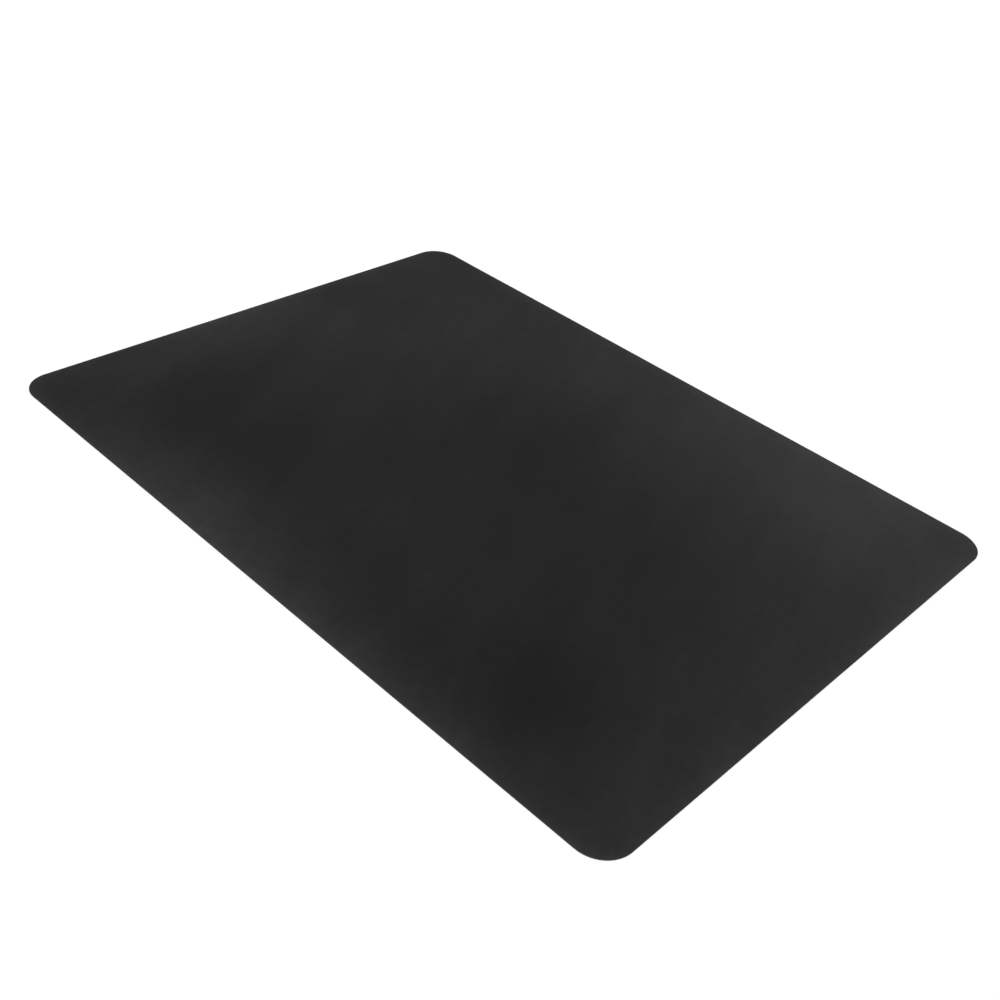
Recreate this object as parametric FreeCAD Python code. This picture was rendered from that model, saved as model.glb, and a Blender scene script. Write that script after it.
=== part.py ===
"""Office chair mat for hard floors, in millimetres, +Z up.

The mat is one flat sheet with round corners, laminated from three full-size layers that are
bonded face to face. From the floor up they are a soft grip backing that keeps the mat from
sliding, a stiff core that spreads the load of the casters, and a hard wearing layer that the
casters roll on. The three are cut out together in one stroke, so they share one outline, and
the two outer edges are eased so that nothing catches on them.

The origin is the middle of the underside, where the mat lies on the floor. X runs along the
long side and Y along the short side.
"""

import FreeCAD, Part
import math
import os

# Driving dimensions
LENGTH = 1219.2            # long side, 48 inches
WIDTH = 914.4              # short side, 36 inches
CORNER_RADIUS = 46.0       # of the four corners, seen from above

BACKING_THICKNESS = 0.5    # soft anti-slip layer
CORE_THICKNESS = 1.2       # stiff load-spreading layer
WEAR_THICKNESS = 0.3       # hard rolling surface

TOP_EASE = 0.2             # rounding of the upper outer edge
BOTTOM_EASE = 0.15         # rounding of the lower outer edge

SAME_HEIGHT = 1e-6         # two heights nearer than this are one

OUT_FOLDER = "parts"


def corner_arc(centre, start_angle):
    """A quarter circle about centre that starts at start_angle, in degrees."""
    circle = Part.Circle(centre, FreeCAD.Vector(0, 0, 1), CORNER_RADIUS)
    start = math.radians(start_angle)
    return Part.Arc(circle, start, start + math.radians(90)).toShape()


def outline(z):
    """The mat's round-cornered outline as a closed wire at height z."""
    x, y = LENGTH / 2, WIDTH / 2
    inner_x, inner_y = x - CORNER_RADIUS, y - CORNER_RADIUS

    def side(x0, y0, x1, y1):
        return Part.makeLine(FreeCAD.Vector(x0, y0, z), FreeCAD.Vector(x1, y1, z))

    edges = [
        side(-inner_x, -y, inner_x, -y),
        corner_arc(FreeCAD.Vector(inner_x, -inner_y, z), -90),
        side(x, -inner_y, x, inner_y),
        corner_arc(FreeCAD.Vector(inner_x, inner_y, z), 0),
        side(inner_x, y, -inner_x, y),
        corner_arc(FreeCAD.Vector(-inner_x, inner_y, z), 90),
        side(-x, inner_y, -x, -inner_y),
        corner_arc(FreeCAD.Vector(-inner_x, -inner_y, z), 180),
    ]
    return Part.Wire(edges)


def layer(bottom, thickness):
    """One full-size layer of the laminate as a solid."""
    return Part.Face(outline(bottom)).extrude(FreeCAD.Vector(0, 0, thickness))


def eased(solid, z, radius):
    """The solid with the rim at height z rounded."""
    rim = [e for e in solid.Edges if all(abs(v.Z - z) < SAME_HEIGHT for v in e.Vertexes)]
    return solid.makeFillet(radius, rim)


def grip_backing():
    """The soft layer that lies on the floor."""
    return eased(layer(0, BACKING_THICKNESS), 0, BOTTOM_EASE)


def core_sheet():
    """The stiff layer between backing and wearing layer."""
    return layer(BACKING_THICKNESS, CORE_THICKNESS)


def wear_layer():
    """The hard layer that the casters roll on."""
    bottom = BACKING_THICKNESS + CORE_THICKNESS
    return eased(layer(bottom, WEAR_THICKNESS), bottom + WEAR_THICKNESS, TOP_EASE)


def main():
    """Writes one STEP file for each layer."""
    os.makedirs(OUT_FOLDER, exist_ok=True)
    for make in (grip_backing, core_sheet, wear_layer):
        shape = make()
        shape.exportStep(os.path.join(OUT_FOLDER, make.__name__ + ".step"))
        box = shape.BoundBox
        print(make.__name__, "valid", shape.isValid(), "volume", round(shape.Volume / 1000, 1),
              "cm3, z", round(box.ZMin, 3), "to", round(box.ZMax, 3))


main()
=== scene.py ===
"""Looks of an office chair mat for hard floors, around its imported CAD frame.

The mat is a laminate of three full-size layers. Each layer gets a finer mesh than its CAD solid:
the exact outline, eased and cut edges, the slow waves of a sheet that was shipped rolled up, and
a grip pattern pressed into the underside. Everything is in metres, in the frame of the CAD.
"""

import math

import bpy
import numpy as np
from mathutils import Matrix, Vector


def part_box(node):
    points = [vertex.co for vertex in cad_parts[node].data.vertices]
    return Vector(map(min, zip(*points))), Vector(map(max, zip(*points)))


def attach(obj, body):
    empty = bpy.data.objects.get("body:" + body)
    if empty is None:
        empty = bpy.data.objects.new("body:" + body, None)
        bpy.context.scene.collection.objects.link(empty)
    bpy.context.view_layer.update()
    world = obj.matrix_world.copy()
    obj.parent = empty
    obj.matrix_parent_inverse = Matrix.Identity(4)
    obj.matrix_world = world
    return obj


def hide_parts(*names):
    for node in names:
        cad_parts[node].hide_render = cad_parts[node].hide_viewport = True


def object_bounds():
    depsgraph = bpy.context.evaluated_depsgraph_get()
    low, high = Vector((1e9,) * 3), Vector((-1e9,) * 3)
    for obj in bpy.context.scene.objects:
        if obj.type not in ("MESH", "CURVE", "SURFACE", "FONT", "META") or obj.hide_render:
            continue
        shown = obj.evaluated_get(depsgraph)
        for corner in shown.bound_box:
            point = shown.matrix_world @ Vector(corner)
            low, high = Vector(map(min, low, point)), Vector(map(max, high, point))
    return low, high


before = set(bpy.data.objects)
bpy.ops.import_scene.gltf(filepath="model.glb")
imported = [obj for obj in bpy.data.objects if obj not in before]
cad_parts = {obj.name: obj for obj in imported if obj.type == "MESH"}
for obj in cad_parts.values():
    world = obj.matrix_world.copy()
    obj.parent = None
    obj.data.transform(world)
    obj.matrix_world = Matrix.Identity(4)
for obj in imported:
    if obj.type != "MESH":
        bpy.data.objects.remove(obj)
cad_lowest, cad_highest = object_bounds()

# Grid of each layer's mesh
CELL = 0.012                 # width of a cell between the corners
CORNER_CELLS = 8             # along each straight side of a corner's square
RIM_SUPPORT = 0.0010         # how far inside the outline the grid of an eased face ends
SHARP_ANGLE = 18             # degrees; a steeper fold between two faces is shaded as an edge

# Edges, as in the CAD
TOP_EASE = 0.0002
BOTTOM_EASE = 0.00015
EASE_STEPS = 6

# Grip pattern of the underside: shallow square hollows between flat ridges
GRIP_PITCH = 0.016
GRIP_RIDGE = 0.0020          # width of a ridge
GRIP_WALL = 0.0006           # width of the slope between ridge and hollow
GRIP_DEPTH = 0.00025

# Slow waves of the sheet: (length, direction in degrees, share)
WAVES = ((0.62, 8, 0.40), (0.41, 74, 0.25), (0.33, 128, 0.20), (0.24, 35, 0.15))
WAVE_HEIGHT = 0.0006         # the most that the sheet can stand off the floor
WAVE_SEED = 7

# Grey of the vinyl's matt skin, as a linear reflectance. Light is painted into it: painted glare
# pales it towards the cut edge, and painted sheen and shade make it a little paler or darker in
# soft patches.
GREY_AND_PAINTED_LIGHT_ATTRIBUTE = "grey_with_painted_light"                     # its name on the mesh
SKIN_GREY = 0.018
# Painted glare: these lighten the skin in a band along the whole outline.
RIM_PAINTED_GLARE = ((0.008, 0.050), (0.015, 0.012))   # (change at the rim, reach inwards)
# Painted sheen and shade: soft patches where the grey is raised or lowered to stand in for
# reflected light.
PAINTED_SHEEN_AND_SHADE_PATCHES = (             # (centre x, centre y, reach x, reach y, change)
    (-0.02, 0.38, 0.44, 0.18, 0.015),
    (0.35, 0.28, 0.24, 0.15, 0.005),
    (-0.40, 0.10, 0.20, 0.20, 0.007),
    (-0.57, -0.07, 0.08, 0.18, 0.015),
    (-0.53, -0.34, 0.08, 0.12, 0.011),
    (-0.21, -0.42, 0.24, 0.08, 0.019),
    (0.16, -0.45, 0.22, 0.05, 0.009),
    (0.54, -0.19, 0.09, 0.30, 0.007),
    (0.12, -0.24, 0.15, 0.08, 0.004),
    (0.39, -0.31, 0.09, 0.09, -0.008),
    (0.59, 0.45, 0.14, 0.06, -0.007),
    (-0.61, -0.02, 0.02, 0.14, 0.010),
    (-0.10, -0.46, 0.30, 0.02, 0.006),
    (-0.54, 0.46, 0.07, 0.04, -0.010),
    (-0.56, 0.17, 0.07, 0.06, -0.007),
)

# Faint marks that a wiping cloth leaves, which multiply the skin's grey
WIPE_SIZE = (0.24, 0.07)     # along and across the wiping direction
WIPE_DIRECTION = 115         # degrees
WIPE_RANGE = (0.88, 1.12)    # lowest and highest factor

# Soft variations of the three materials: (size, lowest, highest). The mottle multiplies the grey.
VINYL_MOTTLE = (0.014, 0.92, 1.08)
VINYL_ROUGHNESS = (0.09, 0.47, 0.53)
CORE_GREY = (0.004, 0.020, 0.034)
CORE_ROUGHNESS = (0.002, 0.62, 0.74)
GRIP_GREY = (0.05, 0.011, 0.018)
GRIP_ROUGHNESS = (0.01, 0.70, 0.82)
USUAL_NOISE = (0.3, 0.7)     # most values of a soft noise lie between these

# Reflection. A smooth plastic face has a shine of 0.5, and a fine emboss swallows part of it.
PLASTIC_IOR = 1.5
VINYL_SHINE = 0.3
EDGE_SHINE = 0.4

# Relief of each material, from its coarsest to its finest: (size, depth)
VINYL_PEEL = (0.011, 0.00006)
VINYL_PEBBLE = (0.0016, 0.00008)
VINYL_GRAIN = (0.0007, 0.00004)
CORE_GRAIN = (0.0006, 0.00003)
GRIP_GRAIN = (0.0012, 0.00005)

# Camera, aimed at a point on the floor. Azimuths of camera and lights are in degrees: 0 is a
# place on the -Y side of the mat, and 90 is one on its +X side.
CAMERA_AZIMUTH = 39.2
CAMERA_ELEVATION = 35.95
CAMERA_ROLL = 8.31
CAMERA_DISTANCE = 1.874
CAMERA_AIM = (0.0664, -0.0609, 0.0)
CAMERA_LENS = 45.27          # mm
CAMERA_SENSOR = 36           # mm

# Lights: a very soft one overhead, and two panels that face the mat from behind it
OVERHEAD_FROM = (0.10, -0.15, 1.0)   # direction that its light comes from
OVERHEAD_SPREAD = 50.0       # degrees across
OVERHEAD_STRENGTH = 1.5
PANEL_DISTANCE = 4.5
PANEL_SIZE = (1.5, 1.0)
PANELS = (                   # (name, azimuth, elevation, watts)
    ("back_panel", 190, 12, 12.3),
    ("side_panel", 230, 26, 2.6),
)
ROOM_STRENGTH = 0.08

# Floor and surround
WHITE = (1, 1, 1, 1)
FLOOR_RADIUS = 20.0
FLOOR_SIDES = 128
FLOOR_REFLECTANCE = 0.8
FLOOR_GLOW = 0.57
FLOOR_GAP = 0.00005          # keeps the floor clear of the mat's flat underside
SURROUND_GLOW = 1.0
SURROUND_SEGMENTS = 64


def corner_radius():
    """Radius of the outline's corners, from where the CAD solid's straight end stops."""
    same_place = 1e-6
    points = [v.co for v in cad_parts["core_sheet"].data.vertices]
    straight_end = max(p.y for p in points if p.x > cad_highest.x - same_place)
    return cad_highest.y - straight_end


HALF_LENGTH = cad_highest.x
HALF_WIDTH = cad_highest.y
RADIUS = corner_radius()


# ---------------------------------------------------------------- shape

def rounded(x, y, inset):
    """Moves points of the sharp-cornered rectangle so that it gets its round corners.

    The square of each corner becomes a quarter disc, by the elliptical mapping of a square onto
    a disc, and the outline shrinks by inset.
    """
    inner_x, inner_y = HALF_LENGTH - RADIUS, HALF_WIDTH - RADIUS
    u = np.maximum(np.abs(x) - inner_x, 0) / RADIUS
    v = np.maximum(np.abs(y) - inner_y, 0) / RADIUS
    reach = RADIUS - inset
    round_x = np.minimum(np.abs(x), inner_x) + reach * u * np.sqrt(1 - v * v / 2)
    round_y = np.minimum(np.abs(y), inner_y) + reach * v * np.sqrt(1 - u * u / 2)
    return np.sign(x) * round_x, np.sign(y) * round_y


def wave_phases():
    """One fixed phase for each wave."""
    return np.random.default_rng(WAVE_SEED).uniform(0, 2 * math.pi, len(WAVES))


def lift(x, y):
    """How far the sheet stands off the floor, from 0 to WAVE_HEIGHT."""
    total = np.zeros_like(x)
    for (length, direction, share), phase in zip(WAVES, wave_phases()):
        angle = math.radians(direction)
        along = x * math.cos(angle) + y * math.sin(angle)
        total += share * (0.5 + 0.5 * np.sin(2 * math.pi * along / length + phase))
    return WAVE_HEIGHT * total


def distance_to_rim(x, y):
    """Distance from the mat's outline, measured inwards."""
    over_x = np.abs(x) - (HALF_LENGTH - RADIUS)
    over_y = np.abs(y) - (HALF_WIDTH - RADIUS)
    outside = np.hypot(np.maximum(over_x, 0), np.maximum(over_y, 0))
    inside = np.minimum(np.maximum(over_x, over_y), 0)
    return RADIUS - outside - inside


def grey_with_painted_light(x, y):
    """Grey of the vinyl's skin at points of the sheet, with painted glare along the rim and painted
    sheen and shade in soft patches.
    """
    grey = np.full_like(x, SKIN_GREY)
    # Painted glare: paler in a band along the whole outline.
    for change, reach in RIM_PAINTED_GLARE:
        grey += change * np.exp(-distance_to_rim(x, y) / reach)
    # Painted sheen and shade: paler or darker in soft patches.
    for centre_x, centre_y, reach_x, reach_y, change in PAINTED_SHEEN_AND_SHADE_PATCHES:
        away = ((x - centre_x) / reach_x) ** 2 + ((y - centre_y) / reach_y) ** 2
        grey += change * np.exp(-away)
    return grey


def with_corner_lines(middle, inner):
    """Adds the lines of the two corner squares to the lines between them."""
    corner = np.linspace(0, RADIUS, CORNER_CELLS + 1)
    return np.concatenate([-inner - corner[::-1], middle, inner + corner])


def plain_lines(half_size):
    """Where the grid lines of a plain face lie along one side."""
    inner = half_size - RADIUS
    cells = round(2 * inner / CELL)
    middle = np.linspace(-inner, inner, cells + 1)[1:-1]
    return with_corner_lines(middle, inner)


def grip_lines(half_size):
    """Where the grid lines of the underside lie along one side, and which are in a hollow."""
    inner = half_size - RADIUS
    cells = round(2 * inner / GRIP_PITCH)
    pitch = 2 * inner / cells
    wall_top = GRIP_RIDGE / 2
    wall_foot = wall_top + GRIP_WALL
    in_cell = np.array([wall_top, wall_foot, pitch - wall_foot, pitch - wall_top])
    starts = -inner + pitch * np.arange(cells)
    middle = (starts[:, None] + in_cell).ravel()
    plain = np.zeros(CORNER_CELLS + 1, dtype=bool)
    hollow = np.concatenate([plain, np.tile([False, True, True, False], cells), plain])
    return with_corner_lines(middle, inner), hollow


def loop_order(rows, columns):
    """The outline of a grid of points, counter-clockwise from above, as numbers of its points."""
    index = np.arange(rows * columns).reshape(rows, columns)
    sides = (index[0, :-1], index[:-1, -1], index[-1, :0:-1], index[:0:-1, 0])
    return np.concatenate(sides)


class SheetMesh:
    """Collects the points and faces of one closed layer."""

    def __init__(self):
        self.points = []
        self.faces = []
        self.count = 0

    def add(self, x, y, z):
        """Adds points, lifted with the sheet, and returns their numbers."""
        self.points.append(np.stack([x, y, z + lift(x, y)], axis=1))
        first = self.count
        self.count += len(x)
        return np.arange(first, self.count)

    def grid(self, lines_x, lines_y, inset, height, facing_up):
        """Adds a face of the layer, and returns its outline's numbers and sharp corners."""
        flat_x, flat_y = (a.ravel() for a in np.meshgrid(lines_x, lines_y))
        x, y = rounded(flat_x, flat_y, inset)
        numbers = self.add(x, y, height).reshape(len(lines_y), len(lines_x))
        quad = [numbers[:-1, :-1], numbers[:-1, 1:], numbers[1:, 1:], numbers[1:, :-1]]
        if not facing_up:
            quad.reverse()
        self.faces += np.stack([q.ravel() for q in quad], axis=1).tolist()
        loop = loop_order(*numbers.shape)
        return numbers.ravel()[loop], flat_x[loop], flat_y[loop]

    def ring(self, flat_x, flat_y, inset, z):
        """Adds one loop of points along the outline."""
        x, y = rounded(flat_x, flat_y, inset)
        return self.add(x, y, z)

    def join(self, lower, upper):
        """Faces between two loops with the same number of points."""
        after = np.roll(lower, -1), np.roll(upper, -1)
        self.faces += np.stack([lower, after[0], after[1], upper], axis=1).tolist()

    def join_unlike(self, lower, upper, marks):
        """Faces between two loops, where the upper one has fewer points than the lower one.

        marks are the places in the lower loop that lie nearest to the upper loop's points.
        """
        ends = np.append(marks[1:], len(lower))
        for here, (start, end) in enumerate(zip(marks, ends)):
            run = [int(lower[k % len(lower)]) for k in range(start, end + 1)]
            self.faces.append(run + [int(upper[(here + 1) % len(upper)]), int(upper[here])])

    def build(self, name):
        """The finished piece, smooth but for its sharp edges."""
        mesh = bpy.data.meshes.new(name)
        mesh.from_pydata(np.concatenate(self.points).tolist(), [], self.faces)
        mesh.polygons.foreach_set("use_smooth", [True] * len(mesh.polygons))
        mesh.set_sharp_from_angle(angle=math.radians(SHARP_ANGLE))
        mesh.validate()
        piece = bpy.data.objects.new(name, mesh)
        bpy.context.scene.collection.objects.link(piece)
        return piece


def store_grey_with_painted_light(mesh):
    """Stores the grey of the skin, with its painted glare, sheen and shade, at each point of a
    mesh, for its material.
    """
    places = np.array([point.co for point in mesh.vertices])
    grey = mesh.attributes.new(GREY_AND_PAINTED_LIGHT_ATTRIBUTE, "FLOAT", "POINT")
    grey.data.foreach_set("value", grey_with_painted_light(places[:, 0], places[:, 1]))


def layer_heights(node):
    """Lower and upper height of a CAD layer."""
    lowest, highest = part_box(node)
    return lowest.z, highest.z


def ease_profile(size):
    """Points of a quarter-round edge, from its vertical side: (inset, distance below its flat)."""
    angles = np.linspace(0, math.pi / 2, EASE_STEPS + 1)
    return [(size * (1 - math.cos(a)), size * (1 - math.sin(a))) for a in angles]


def wear_piece():
    """The hard top layer, with its upper edge eased."""
    bottom, top = layer_heights("wear_layer")
    lines = plain_lines(HALF_LENGTH), plain_lines(HALF_WIDTH)
    sheet = SheetMesh()
    loop, flat_x, flat_y = sheet.grid(*lines, inset=0, height=bottom, facing_up=False)
    for inset, drop in ease_profile(TOP_EASE):
        ring = sheet.ring(flat_x, flat_y, inset, top - drop)
        sheet.join(loop, ring)
        loop = ring
    upper, _, _ = sheet.grid(*lines, inset=RIM_SUPPORT, height=top, facing_up=True)
    sheet.join(loop, upper)
    piece = sheet.build("wear_surface")
    store_grey_with_painted_light(piece.data)
    return piece


def core_piece():
    """The stiff middle layer, with the plain edge that the knife leaves."""
    bottom, top = layer_heights("core_sheet")
    lines = plain_lines(HALF_LENGTH), plain_lines(HALF_WIDTH)
    sheet = SheetMesh()
    lower, _, _ = sheet.grid(*lines, inset=0, height=bottom, facing_up=False)
    upper, _, _ = sheet.grid(*lines, inset=0, height=top, facing_up=True)
    sheet.join(lower, upper)
    return sheet.build("core")


def grip_piece():
    """The soft underside, with its grip pattern and its lower edge eased."""
    bottom, top = layer_heights("grip_backing")
    lines_x, hollow_x = grip_lines(HALF_LENGTH)
    lines_y, hollow_y = grip_lines(HALF_WIDTH)
    relief = bottom + GRIP_DEPTH * np.outer(hollow_y, hollow_x).ravel()
    sheet = SheetMesh()
    loop, flat_x, flat_y = sheet.grid(lines_x, lines_y, inset=RIM_SUPPORT, height=relief,
                                      facing_up=False)
    for inset, rise in reversed(ease_profile(BOTTOM_EASE)):
        ring = sheet.ring(flat_x, flat_y, inset, bottom + rise)
        sheet.join(loop, ring)
        loop = ring
    ring = sheet.ring(flat_x, flat_y, 0, top)
    sheet.join(loop, ring)
    lines = plain_lines(HALF_LENGTH), plain_lines(HALF_WIDTH)
    upper, upper_x, upper_y = sheet.grid(*lines, inset=RIM_SUPPORT, height=top, facing_up=True)
    marks = []
    for x, y in zip(upper_x, upper_y):
        marks.append(int(np.argmin(np.abs(flat_x - x) + np.abs(flat_y - y))))
    sheet.join_unlike(ring, upper, marks)
    return sheet.build("grip_underside")


# ---------------------------------------------------------------- materials

class Nodes:
    """A material's node tree, with short calls to fill it."""

    def __init__(self, name):
        self.material = bpy.data.materials.new(name)
        self.material.use_nodes = True
        self.tree = self.material.node_tree
        self.shader = self.tree.nodes["Principled BSDF"]
        self.place = self.add("ShaderNodeTexCoord").outputs["Object"]

    def add(self, kind, inputs=None, **settings):
        """A new node with its settings, and its inputs set to numbers or linked to sockets."""
        node = self.tree.nodes.new(kind)
        for key, value in settings.items():
            setattr(node, key, value)
        for key, value in (inputs or {}).items():
            self.feed(node.inputs[key], value)
        return node

    def feed(self, socket, value):
        """Links a socket, or sets its number."""
        if isinstance(value, bpy.types.NodeSocket):
            self.tree.links.new(value, socket)
        else:
            socket.default_value = value

    def noise(self, size, detail, seed, roughness=0.5, place=None):
        """Soft noise whose features are about size across, in the units of place."""
        inputs = {"Vector": place or self.place, "W": seed, "Scale": 1 / size,
                  "Detail": detail, "Roughness": roughness}
        return self.add("ShaderNodeTexNoise", inputs, noise_dimensions="4D").outputs["Fac"]

    def smears(self, length, width, direction, detail, seed):
        """Soft noise drawn out along a direction in degrees, like the marks of a wiping cloth."""
        inputs = {"Vector": self.place, "Rotation": (0, 0, math.radians(direction)),
                  "Scale": (length, width, width)}
        drawn_out = self.add("ShaderNodeMapping", inputs, vector_type="TEXTURE").outputs["Vector"]
        return self.noise(1, detail, seed, place=drawn_out)

    def pebbles(self, size):
        """Rounded cells about size metres across."""
        inputs = {"Vector": self.place, "Scale": 1 / size}
        return self.add("ShaderNodeTexVoronoi", inputs, feature="SMOOTH_F1").outputs["Distance"]

    def spread(self, noise, low, high):
        """Maps the usual range of a noise to low..high."""
        usual_low, usual_high = USUAL_NOISE
        inputs = {"Value": noise, "From Min": usual_low, "From Max": usual_high,
                  "To Min": low, "To Max": high}
        node = self.add("ShaderNodeMapRange", inputs, interpolation_type="SMOOTHSTEP")
        return node.outputs["Result"]

    def varied(self, variation, detail, seed, roughness=0.5):
        """A value that varies softly, from (size, lowest, highest)."""
        size, low, high = variation
        return self.spread(self.noise(size, detail, seed, roughness), low, high)

    def product(self, first, second):
        """Two values multiplied."""
        node = self.add("ShaderNodeMath", {0: first, 1: second}, operation="MULTIPLY")
        return node.outputs["Value"]

    def relief(self, height, depth, under=None):
        """Turns a height from 0 to 1 into relief of that depth in metres, over the one under it."""
        inputs = {"Strength": 1.0, "Distance": depth, "Height": height}
        if under is not None:
            inputs["Normal"] = under
        return self.add("ShaderNodeBump", inputs).outputs["Normal"]

    def grain(self, size_and_depth, detail, seed, under=None):
        """Soft noisy relief, over the one under it."""
        size, depth = size_and_depth
        return self.relief(self.noise(size, detail, seed), depth, under)

    def finish(self, grey, roughness, normal, shine):
        """Feeds the shader, and returns the material."""
        self.feed(self.shader.inputs["Base Color"], grey)
        self.feed(self.shader.inputs["Roughness"], roughness)
        self.feed(self.shader.inputs["Normal"], normal)
        self.shader.inputs["IOR"].default_value = PLASTIC_IOR
        self.shader.inputs["Specular IOR Level"].default_value = shine
        return self.material


def wear_material():
    """Matt black vinyl with a fine pebble grain, with painted glare towards the rim and painted
    sheen and shade in soft patches.
    """
    nodes = Nodes("matt_black_vinyl")
    # The grey on the mesh holds painted glare at the rim and painted sheen and shade in patches.
    painted_light_grey = nodes.add("ShaderNodeAttribute", attribute_name=GREY_AND_PAINTED_LIGHT_ATTRIBUTE).outputs["Fac"]
    wiped = nodes.spread(nodes.smears(*WIPE_SIZE, WIPE_DIRECTION, detail=4, seed=3.1), *WIPE_RANGE)
    mottle = nodes.varied(VINYL_MOTTLE, detail=4, seed=8.4)
    grey = nodes.product(painted_light_grey, nodes.product(wiped, mottle))
    roughness = nodes.varied(VINYL_ROUGHNESS, detail=5, seed=5.2, roughness=0.6)

    peel = nodes.grain(VINYL_PEEL, detail=1, seed=2.9)
    pebble_size, pebble_depth = VINYL_PEBBLE
    pebbled = nodes.relief(nodes.pebbles(pebble_size), pebble_depth, under=peel)
    normal = nodes.grain(VINYL_GRAIN, detail=2, seed=1.7, under=pebbled)
    return nodes.finish(grey, roughness, normal, VINYL_SHINE)


def core_material():
    """Cut edge of the stiff layer: dark grey, dull and slightly rough."""
    nodes = Nodes("dark_grey_core")
    grey = nodes.varied(CORE_GREY, detail=4, seed=6.3)
    roughness = nodes.varied(CORE_ROUGHNESS, detail=3, seed=4.4)
    normal = nodes.grain(CORE_GRAIN, detail=2, seed=9.1)
    return nodes.finish(grey, roughness, normal, EDGE_SHINE)


def grip_material():
    """Soft black rubbery backing with a fine open grain."""
    nodes = Nodes("black_grip_rubber")
    grey = nodes.varied(GRIP_GREY, detail=4, seed=7.7)
    roughness = nodes.varied(GRIP_ROUGHNESS, detail=3, seed=2.2)
    normal = nodes.grain(GRIP_GRAIN, detail=3, seed=3.8)
    return nodes.finish(grey, roughness, normal, EDGE_SHINE)


# ---------------------------------------------------------------- studio

def glowing(name, glow, reflectance=0.0):
    """A white material that gives off even light, and reflects this share of what it gets."""
    material = bpy.data.materials.new(name)
    material.use_nodes = True
    inputs = material.node_tree.nodes["Principled BSDF"].inputs
    inputs["Base Color"].default_value = (reflectance, reflectance, reflectance, 1)
    inputs["Roughness"].default_value = 1.0
    inputs["Specular IOR Level"].default_value = 0.0
    inputs["Emission Color"].default_value = WHITE
    inputs["Emission Strength"].default_value = glow
    return material


def floor_and_surround():
    """A pale floor, and a white surround that only the camera sees."""
    bpy.ops.mesh.primitive_circle_add(vertices=FLOOR_SIDES, radius=FLOOR_RADIUS,
                                      fill_type="NGON", location=(0, 0, -FLOOR_GAP))
    floor = bpy.context.object
    floor.name = "floor"
    floor.data.materials.append(glowing("pale_floor", FLOOR_GLOW, FLOOR_REFLECTANCE))
    bpy.ops.mesh.primitive_uv_sphere_add(segments=SURROUND_SEGMENTS,
                                         ring_count=SURROUND_SEGMENTS // 2, radius=FLOOR_RADIUS)
    surround = bpy.context.object
    surround.name = "surround"
    surround.data.materials.append(glowing("white_surround", SURROUND_GLOW))
    for rays in ("diffuse", "glossy", "transmission", "volume_scatter", "shadow"):
        setattr(surround, "visible_" + rays, False)


def towards(azimuth, elevation):
    """Unit vector from the mat towards a place around it, from angles in degrees."""
    around, up = math.radians(azimuth), math.radians(elevation)
    level = math.cos(up)
    return Vector((level * math.sin(around), -level * math.cos(around), math.sin(up)))


def lamp_facing(name, light, place, back):
    """Puts a light at a place, with its back towards a direction."""
    lamp = bpy.data.objects.new(name, light)
    lamp.location = place
    lamp.rotation_mode = "QUATERNION"
    lamp.rotation_quaternion = Vector(back).to_track_quat("Z", "Y")
    bpy.context.scene.collection.objects.link(lamp)


def overhead_light():
    """A sun so wide that it throws no visible shadow."""
    light = bpy.data.lights.new("overhead", "SUN")
    light.angle = math.radians(OVERHEAD_SPREAD)
    light.energy = OVERHEAD_STRENGTH
    lamp_facing("overhead", light, OVERHEAD_FROM, OVERHEAD_FROM)


def panel_light(name, azimuth, elevation, power):
    """A soft rectangular light that faces the middle of the mat."""
    light = bpy.data.lights.new(name, "AREA")
    light.shape = "RECTANGLE"
    light.size, light.size_y = PANEL_SIZE
    light.energy = power
    back = towards(azimuth, elevation)
    lamp_facing(name, light, back * PANEL_DISTANCE, back)


def room_light():
    """A dim even light from all round."""
    world = bpy.data.worlds.new("studio_room")
    world.use_nodes = True
    background = world.node_tree.nodes["Background"]
    background.inputs["Color"].default_value = WHITE
    background.inputs["Strength"].default_value = ROOM_STRENGTH
    bpy.context.scene.world = world


def camera():
    """The camera, placed round its aim by azimuth, elevation, distance and roll."""
    back = towards(CAMERA_AZIMUTH, CAMERA_ELEVATION)
    roll = Matrix.Rotation(math.radians(CAMERA_ROLL), 3, "Z")
    turn = back.to_track_quat("Z", "Y").to_matrix() @ roll
    data = bpy.data.cameras.new("camera")
    data.lens = CAMERA_LENS
    data.sensor_width = CAMERA_SENSOR
    shot = bpy.data.objects.new("camera", data)
    place = Vector(CAMERA_AIM) + back * CAMERA_DISTANCE
    shot.matrix_world = Matrix.Translation(place) @ turn.to_4x4()
    bpy.context.scene.collection.objects.link(shot)
    bpy.context.scene.camera = shot


def plain_colours():
    """Plain colour reproduction, so that pale is pale and black is black."""
    bpy.context.scene.view_settings.view_transform = "Standard"
    bpy.context.scene.view_settings.look = "None"


# ---------------------------------------------------------------- the mat

LAYERS = (                   # (mesh, material, CAD node that it stands for, record's slot)
    (wear_piece, wear_material, "wear_layer", "wear_surface"),
    (core_piece, core_material, "core_sheet", "core"),
    (grip_piece, grip_material, "grip_backing", "grip"),
)

for make_piece, make_material, cad_node, record_slot in LAYERS:
    piece = make_piece()
    piece.data.materials.append(make_material())
    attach(piece, "root")
    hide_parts(cad_node)

floor_and_surround()
overhead_light()
for panel in PANELS:
    panel_light(*panel)
room_light()
camera()
plain_colours()
